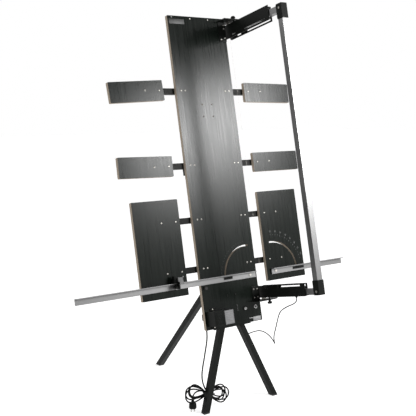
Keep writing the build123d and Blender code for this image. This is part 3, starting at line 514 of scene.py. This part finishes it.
def make_screws():
    heads = bmesh.new()
    turn = 0.0
    for v in ARM_HEIGHTS:
        for u in LEFT_SCREWS + RIGHT_SCREWS:
            turn += SCREW_TURN
            add_pan_head(heads, u, v, LIFT, SCREW_R, turn)
    piece = link_piece("board_screw_heads", heads, "zinc_steel", "frame")
    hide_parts("board_screws")

    dark, bright = bmesh.new(), bmesh.new()
    for form, places, n, radius in (
        (dark, HEAD_SCREWS, LIFT, HEAD_SCREW_R),
        (bright, HANDLE_SCREWS, LIFT, SCREW_R),
        (bright, BOX_SCREWS, BOX_FLANGE_T + LIFT, SCREW_R),
        (bright, FLANGE_SCREWS, PLATE_T + LIFT, SCREW_R),
    ):
        for u, v in places:
            turn += SCREW_TURN
            add_pan_head(form, u, v, n, radius, turn)
    link_piece("fitting_screw_heads", bright, "zinc_steel", "frame")
    piece = link_piece("bracket_screw_heads", dark, "black_screw", "frame")
    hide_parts("bracket_bolts")


PRINT_AT, PRINT_T = 0.12, 0.12
RIGHT_PIVOT, LEFT_PIVOT = (473.0, 236.0), (302.0, 236.0)
RIGHT_TICKS = (188, 9, 5, 1.2)      # radius, length at the tens, length at the fives and width
LEFT_TICKS = (172, 6, 3.5, 0.9)
FIGURES_R = 205
FIGURE_HALF_TURN, FIGURE_HALF_RISE = 0.9, 2.7           # in degrees round the scale, and across it


def ring_mark(form, centre, radius, angle, length, width):
    """A short printed line pointing at the centre of a scale, at an angle in degrees."""
    turn = math.radians(angle)
    u = centre[0] + radius * math.cos(turn)
    v = centre[1] + radius * math.sin(turn)
    add_box(form, (length, width, PRINT_T), board_matrix(u, v, PRINT_AT) @ Matrix.Rotation(turn, 4, "Z"))


def add_ticks(form, centre, angles, radius, at_tens, at_fives, width):
    for angle in angles:
        ring_mark(form, centre, radius, angle, at_fives if angle % 10 else at_tens, width)


def make_scales():
    """Angle scales round the rails' arc slots, with plain marks where the figures are."""
    marks = bmesh.new()
    add_ticks(marks, RIGHT_PIVOT, range(15, 91, 5), *RIGHT_TICKS)
    for angle in range(20, 91, 10):
        for side in (-1, 1):
            ring_mark(marks, RIGHT_PIVOT, FIGURES_R, angle + side * FIGURE_HALF_TURN, 9.0, 1.5)
            ring_mark(marks, RIGHT_PIVOT, FIGURES_R + side * FIGURE_HALF_RISE, angle, 1.4, 6.0)
    link_piece("angle_scale_right", marks, "white_print", "frame")
    marks = bmesh.new()
    add_ticks(marks, LEFT_PIVOT, range(95, 171, 5), *LEFT_TICKS)
    link_piece("angle_scale_left", marks, "grey_print", "frame")


LID_FRONT = 71.05
RATING_FRONT, RATING_LINE_T = 71.7, 0.12
RATING_LINES = (
    ((71, 120), (84.2, 85.4)), ((71, 120), (21.8, 23)), ((71, 72.2), (22, 85)), ((118.8, 120), (22, 85)),
    ((76, 115), (76, 78)), ((76, 115), (66, 67.5)), ((76, 104), (58, 59.5)), ((76, 115), (50, 51.5)),
    ((76, 96), (42, 43.5)), ((76, 115), (34, 35.5)),
)
STRIP_T, STRIP_TONGUE_T, STRIP_BAND_T = 0.7, 0.6, 0.85
LABEL_T, WINDOW_T = 0.35, 0.6
PANEL_BEVEL = 0.25


def add_panel(form, u, v, n):
    """A thin flat panel between two values of u, of v and of n, with soft corners."""
    size = (u[1] - u[0], v[1] - v[0], n[1] - n[0])
    add_box(form, size, board_matrix(sum(u) / 2, sum(v) / 2, sum(n) / 2), PANEL_BEVEL, 2)


def panel_piece(name, finish, slot, *panels):
    """A piece of thin panels on the board or on the box, each given by its spans of u, v and n."""
    form = bmesh.new()
    for spans in panels:
        add_panel(form, *spans)
    link_piece(name, form, finish, "frame")


def make_plates():
    """Plates without lettering where the object has labels, and the box's indicator window."""
    panel_piece("rating_plate_blank", "plate_grey", "black_plastic",
                ((69, 122), (20, 87), (LID_FRONT, RATING_FRONT)))
    line_n = (RATING_FRONT, RATING_FRONT + RATING_LINE_T)
    panel_piece("rating_plate_lines", "plate_lines", "black_plastic",
                *((u, v, line_n) for u, v in RATING_LINES))
    panel_piece("strip_plate_blank", "plate_light", "film_faced_plywood",
                ((293, 341), (3, 23), (LIFT, STRIP_T)), ((269, 293), (18, 22), (LIFT, STRIP_TONGUE_T)))
    panel_piece("strip_plate_band", "plate_grey", "film_faced_plywood",
                ((297, 338), (6, 13), (STRIP_T, STRIP_BAND_T)))
    panel_piece("top_label_blank", "label_dark", "film_faced_plywood",
                ((8, 98), (1519, 1544), (LIFT, LABEL_T)))
    dot = bmesh.new()
    add_lathe(dot, ((3.4, 0), (3.4, 0.5), (2.6, 0.9)), board_matrix(25, 1553, LIFT), 24)
    link_piece("top_label_dot", dot, "plate_light", "frame")
    panel_piece("indicator_window", "button_plastic", "black_plastic",
                ((201, 205), (67, 98), (LIFT, WINDOW_T)))


# ---------------------------------------------------------------- lid, stop and fittings

LID_SIZE, LID_MIDDLE = (117, 72, 3.2), (69.5, 54, 68.6)
LOUVRES_FROM = range(30, 84, 7)
LOUVRE_U, LOUVRE_WIDTH, LOUVRE_N = (19, 52), 4.2, (69.9, 71.2)
RIM_N = (69.8, 71.0)
RIM_SIDES = (((14, 57), (84.5, 86.5)), ((14, 57), (22.5, 24.5)), ((14, 16), (23, 86)), ((55, 57), (23, 86)))
FIELD_U, FIELD_V = (67, 124), (18.8, 88.6)


def make_cover():
    """The housing's lid: soft edges, closed louvres inside a raised rim and a raised field for the plate."""
    lid = bmesh.new()
    add_box(lid, LID_SIZE, board_matrix(*LID_MIDDLE), 1.2, 4)
    for v in LOUVRES_FROM:
        add_panel(lid, LOUVRE_U, (v, v + LOUVRE_WIDTH), LOUVRE_N)
    for u, v in RIM_SIDES:
        add_panel(lid, u, v, RIM_N)
    add_panel(lid, FIELD_U, FIELD_V, (RIM_N[0], LID_FRONT))
    piece = link_piece("housing_lid", lid, "black_plastic", "frame")
    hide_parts("transformer_cover")


# the stop's blocks: size, middle in the board's frame, bevel and its steps
STOP_BLOCKS = (
    ((21.5, 26, 24), (-157.8, 264, 21), 2.2, 4),
    ((14, 10, 18), (-161, 280, 21), 1.6, 3),
    ((8, 23.5, 37.4), (-151, 235, 27.1), 1.4, 3),
    ((8, 32, 16), (-151, 239, 37.5), 1.4, 3),
)
# the light plate from its outer upper corner towards the board and down: v and n of the corners'
# middles with the angle each starts at, and the notch that passes the rail's flange
STOP_FACE_U = (-146.9, -144.1)
STOP_CORNER_R = 6
STOP_CORNERS = ((277, 74, 0), (277, 14.5, 90), (246.5, 34.5, 180), (246.5, 74, 270))
STOP_NOTCH = ((271, 8.4), (251.0, 8.4), (251.0, 28.5))
NOTCH_AFTER = 90        # it follows the corner that starts at this angle


def stop_outline():
    outline = []
    for v, n, first in STOP_CORNERS:
        outline += [(v + STOP_CORNER_R * a, n + STOP_CORNER_R * b) for a, b in quarter_turn(first)]
        if first == NOTCH_AFTER:
            outline += STOP_NOTCH
    return outline


def make_stop():
    """The stop: a short slider on the rail's flange, its jaw below, and the light plate the work meets."""
    body = bmesh.new()
    for size, middle, bevel, segments in STOP_BLOCKS:
        add_box(body, size, board_matrix(*middle), bevel, segments)
    piece = link_piece("stop_slider_body", body, "black_plastic", "stop")
    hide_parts("stop_slider")
    plate = bmesh.new()
    outline = stop_outline()
    skin(plate, [[plate.verts.new(place(u, *spot)) for spot in outline] for u in STOP_FACE_U])
    bmesh.ops.triangulate(plate, faces=[face for face in plate.faces if len(face.verts) > 4])
    piece = link_piece("stop_face", plate, "light_plate", "stop")
    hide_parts("stop_plate")


OUTLET_AT, BUTTON_AT = (248, 73, 0), (315, 73, 0)
NUT_PROFILE = ((8.6, 5.05), (8.6, 6.2), (7.6, 7.4), (6.0, 8.0), (3.0, 8.0))
COLLAR_PROFILE = ((5.6, 8.0), (5.6, 10.5), (4.8, 11.2), (2.0, 11.2))
BEZEL_PROFILE = ((9.7, 0.1), (10.2, 0.9), (10.2, 2.6), (9.5, 3.7), (8.0, 4.2), (6.3, 4.0), (5.9, 3.6))
BEZEL_STEPS = 40


def make_fittings():
    """The plated nut of the cord outlet and the bezel round the push button."""
    nut = bmesh.new()
    add_lathe(nut, NUT_PROFILE, board_matrix(*OUTLET_AT), 6)
    add_lathe(nut, COLLAR_PROFILE, board_matrix(*OUTLET_AT), 32)
    link_piece("outlet_nut", nut, "bright_steel", "frame", 20)
    bezel = bmesh.new()
    matrix = board_matrix(*BUTTON_AT)
    skin(bezel, [ring_of(bezel, matrix, *spot, BEZEL_STEPS) for spot in BEZEL_PROFILE], looped=True)
    link_piece("button_bezel", bezel, "bright_steel", "frame")


# ---------------------------------------------------------------- cords

MAINS_D, LEAD_D = 7.0, 5.0
LEAD_SIDES = 14
OUTLETS_N = -30.0
MAINS_ROUTE = [
    place(21, 5, OUTLETS_N), place(21, -20, OUTLETS_N),
    stand(-157, 23.5, 328), stand(-164, 25, 288), stand(-174, 22, 247), stand(-186, 18, 208),
    stand(-194, 14, 170), stand(-193, 10, 137), stand(-186, 5, 112), stand(-180, 2.5, 96),
]
LEAD_ROUTE = [
    place(256, 25, OUTLETS_N), place(256, 7, OUTLETS_N), stand(83, 46, 376),
    stand(85, 64, 355), stand(88, 72, 330), stand(101, 73, 311), stand(122, 71, 305),
    stand(144, 66, 310), stand(160, 46, 322), stand(172, 14, 333), stand(179, -24, 329),
    stand(175, -68, 317), stand(167, -99, 303), stand(157, -121, 297), stand(149, -124, 310),
    stand(147, -122, 341), stand(154, -131, 388), stand(155, -143, 436), stand(158, -157, 474),
    stand(176, -188, 500), stand(198, -213, 515), place(384, 88, 245), place(384, 102, 245),
]

HANK_AT, HANK_TILT = (5.0, -307.0), math.radians(-11.0)
# each loop of the hank: side, reach, half width, fan angle in degrees and depth
HANK_LOOPS = (
    (1, 126, 35, 1, -61.8), (-1, 134, 36, -7, -63.2), (1, 108, 33, 9, -66.0), (-1, 114, 34, 6, -68.4),
    (1, 120, 35, -9, -70.8), (-1, 127, 35, 0, -73.2), (1, 98, 32, 4, -75.6), (-1, 102, 33, 9, -78.0),
    (1, 112, 34, -4, -80.2),
)
LOOP_POINTS = 13
LOOP_FULLNESS = 1.8     # how far a loop bulges, in half widths
STRAND_STEP, STRAND_DRIFT = 5.0, 2.5
HANK_END = (-30, 15, -79)

PLUG_FOOT = stand(-262.0, -6.0, 24.0)
PLUG_TOP, CORD_ABOVE_PLUG = 43.0, 32.0
PLUG_BODY = (
    (16.2, 0), (17.8, 0.8), (18.3, 2.4), (18.3, 14), (17.6, 15.2), (17.2, 16.4), (17.6, 17.6), (18.0, 19),
    (17.2, 23.5), (14.5, 28), (10.5, 31), (8.2, 32.6), (7.4, 34), (6.9, 36),
)
RIBS, RIBS_FROM, RIB_STEP, RIB_TAPER = 3, 36, 2.4, 0.5
RIB_PROFILE = ((6.2, 0.2), (6.9, 0.9), (6.6, 2.0))
PIN_SHIFT = 9.5
PIN_PROFILE = ((2.4, -2), (2.4, 17), (2.1, 18.2), (1.2, 19))

TIE_DEPTH, TIE_TURN = -57, math.radians(-21.7)
TIE_HALF_U, TIE_HALF_N, TIE_CORNER_R = 19.0, 28.0, 9.0
TIE_SECTION = ((0.0, -5.0), (1.6, -5.0), (2.2, 0.0), (1.6, 5.0), (0.0, 5.0))        # thickness and height


def hank_place(along_tie, across, depth):
    """A place in the hank's plane, from the tie."""
    u = HANK_AT[0] + along_tie * math.cos(HANK_TILT) - across * math.sin(HANK_TILT)
    v = HANK_AT[1] + along_tie * math.sin(HANK_TILT) + across * math.cos(HANK_TILT)
    return place(u, v, depth)


def hank_points():
    """Loops to the right and to the left in turn, each a rounded lobe that starts and ends in the tie."""
    points = []
    for index, (side, reach, width, fan, depth) in enumerate(HANK_LOOPS):
        angle = math.radians(fan)
        rise = STRAND_STEP * (index % 3 - 1)
        for step in range(LOOP_POINTS):
            turn = math.pi * (step + 0.5) / LOOP_POINTS
            out = reach * math.sin(turn)
            bulge = LOOP_FULLNESS * width * math.cos(turn) * math.sin(turn)
            out, bulge = (
                out * math.cos(angle) - bulge * math.sin(angle),
                out * math.sin(angle) + bulge * math.cos(angle),
            )
            drift = STRAND_DRIFT * math.sin(turn) * (1 if index % 2 else -1)
            points.append(hank_place(side * out, bulge + rise * (1 - math.sin(turn)), depth + drift))
    return points


def nurbs_curve(name, points):
    """A smooth curve that starts and ends in its first and last point."""
    curve = bpy.data.curves.new(name, "CURVE")
    curve.dimensions = "3D"
    curve.resolution_u = 6
    spline = curve.splines.new("NURBS")
    spline.points.add(len(points) - 1)
    for target, spot in zip(spline.points, points):
        target.co = (*spot, 1.0)
    spline.order_u = 3
    spline.use_endpoint_u = True
    return curve


def curve_path(name, points):
    """The points that a route's smooth line passes through."""
    holder = bpy.data.objects.new(name, nurbs_curve(name, points))
    bpy.context.collection.objects.link(holder)
    bpy.context.view_layer.update()
    mesh = bpy.data.meshes.new_from_object(holder)
    path = [vertex.co.copy() for vertex in mesh.vertices]
    bpy.data.objects.remove(holder)
    bpy.data.meshes.remove(mesh)
    return path


def path_length(path):
    return sum((b - a).length for a, b in zip(path, path[1:]))


def tube_mesh(name, path, radius):
    """A round tube along a path, whose rings don't twist against each other."""
    form = bmesh.new()
    side = (path[1] - path[0]).orthogonal().normalized()
    rings = []
    for index, spot in enumerate(path):
        tangent = (path[min(index + 1, len(path) - 1)] - path[max(index - 1, 0)]).normalized()
        side = (side - tangent * side.dot(tangent)).normalized()
        other = tangent.cross(side)
        ring = []
        for step in range(LEAD_SIDES):
            turn = 2 * math.pi * step / LEAD_SIDES
            ring.append(form.verts.new(spot + (side * math.cos(turn) + other * math.sin(turn)) * radius))
        rings.append(ring)
    skin(form, rings)
    return mesh_from(name, form, 60)


def make_plug():
    """A round two-pin plug that hangs with its pins down, ribbed where the cord goes in."""
    profile = list(PLUG_BODY)
    for rib in range(RIBS):
        profile += [(r - rib * RIB_TAPER, RIBS_FROM + rib * RIB_STEP + up) for r, up in RIB_PROFILE]
    profile.append((4.6, PLUG_TOP))
    form = bmesh.new()
    add_lathe(form, profile, basis(PLUG_FOOT, (0, 0, 1)), 48)
    plug = link_piece("mains_plug_body", form, "black_plastic", "frame", 40)
    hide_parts("mains_plug")
    form = bmesh.new()
    for shift in (-PIN_SHIFT, PIN_SHIFT):
        add_lathe(form, PIN_PROFILE, basis(PLUG_FOOT + U_DIR * (shift * MM), (0, 0, -1)), 20)
    pins = link_piece("mains_plug_pins", form, "zinc_steel", "frame")
    return [plug, pins]


def make_mains_cord():
    """The cord hangs from the box, goes round the hank's loops and ends in the plug."""
    end_run = [
        hank_place(*HANK_END),
        PLUG_FOOT + Vector((0, 0, PLUG_TOP + CORD_ABOVE_PLUG)) * MM,
        PLUG_FOOT + Vector((0, 0, PLUG_TOP)) * MM,
    ]
    route = MAINS_ROUTE + hank_points() + end_run
    curve = nurbs_curve("mains_cord_sheath", route)
    curve.bevel_depth = MAINS_D / 2 * MM
    curve.bevel_resolution = 5
    curve.use_fill_caps = True
    cord = bpy.data.objects.new("mains_cord_sheath", curve)
    bpy.context.collection.objects.link(cord)
    curve.materials.append(MATERIALS["cord_rubber"])
    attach(cord, "frame")
    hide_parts("mains_cord", "mains_hank")
    plug = make_plug()
    length = path_length(curve_path("mains_line", route))


def make_lead():
    """The lead from the back of the box to the lower guide arm."""
    path = curve_path("lead_line", LEAD_ROUTE)
    mesh = tube_mesh("low_voltage_sheath", path, LEAD_D / 2 * MM)
    lead = bpy.data.objects.new("low_voltage_sheath", mesh)
    bpy.context.collection.objects.link(lead)
    mesh.materials.append(MATERIALS["cord_rubber"])
    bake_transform(lead)
    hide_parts("low_voltage_lead")


def make_tie():
    """The strap that holds the hank to the left leg."""
    form = bmesh.new()
    matrix = Matrix.Translation(hank_place(0, 0, TIE_DEPTH)) @ BOARD_AXES.to_4x4()
    matrix = matrix @ Matrix.Rotation(TIE_TURN, 4, "Z")
    outline = []
    for side_u, side_n, first in ((1, 1, 0), (-1, 1, 90), (-1, -1, 180), (1, -1, 270)):
        centre_u = side_u * (TIE_HALF_U - TIE_CORNER_R)
        centre_n = side_n * (TIE_HALF_N - TIE_CORNER_R)
        outline += [(centre_u, centre_n, a, b) for a, b in quarter_turn(first)]
    rings = []
    for thickness, height in TIE_SECTION:
        radius = TIE_CORNER_R + thickness
        spots = [Vector((u + radius * a, height, n + radius * b)) * MM for u, n, a, b in outline]
        rings.append([form.verts.new(matrix @ spot) for spot in spots])
    skin(form, rings, looped=True)
    link_piece("hank_tie", form, "rubber", "frame")


make_camera()
dress_nodes()
make_stage()
make_screws()
make_scales()
make_plates()
make_cover()
make_stop()
make_fittings()
make_tie()
make_mains_cord()
make_lead()
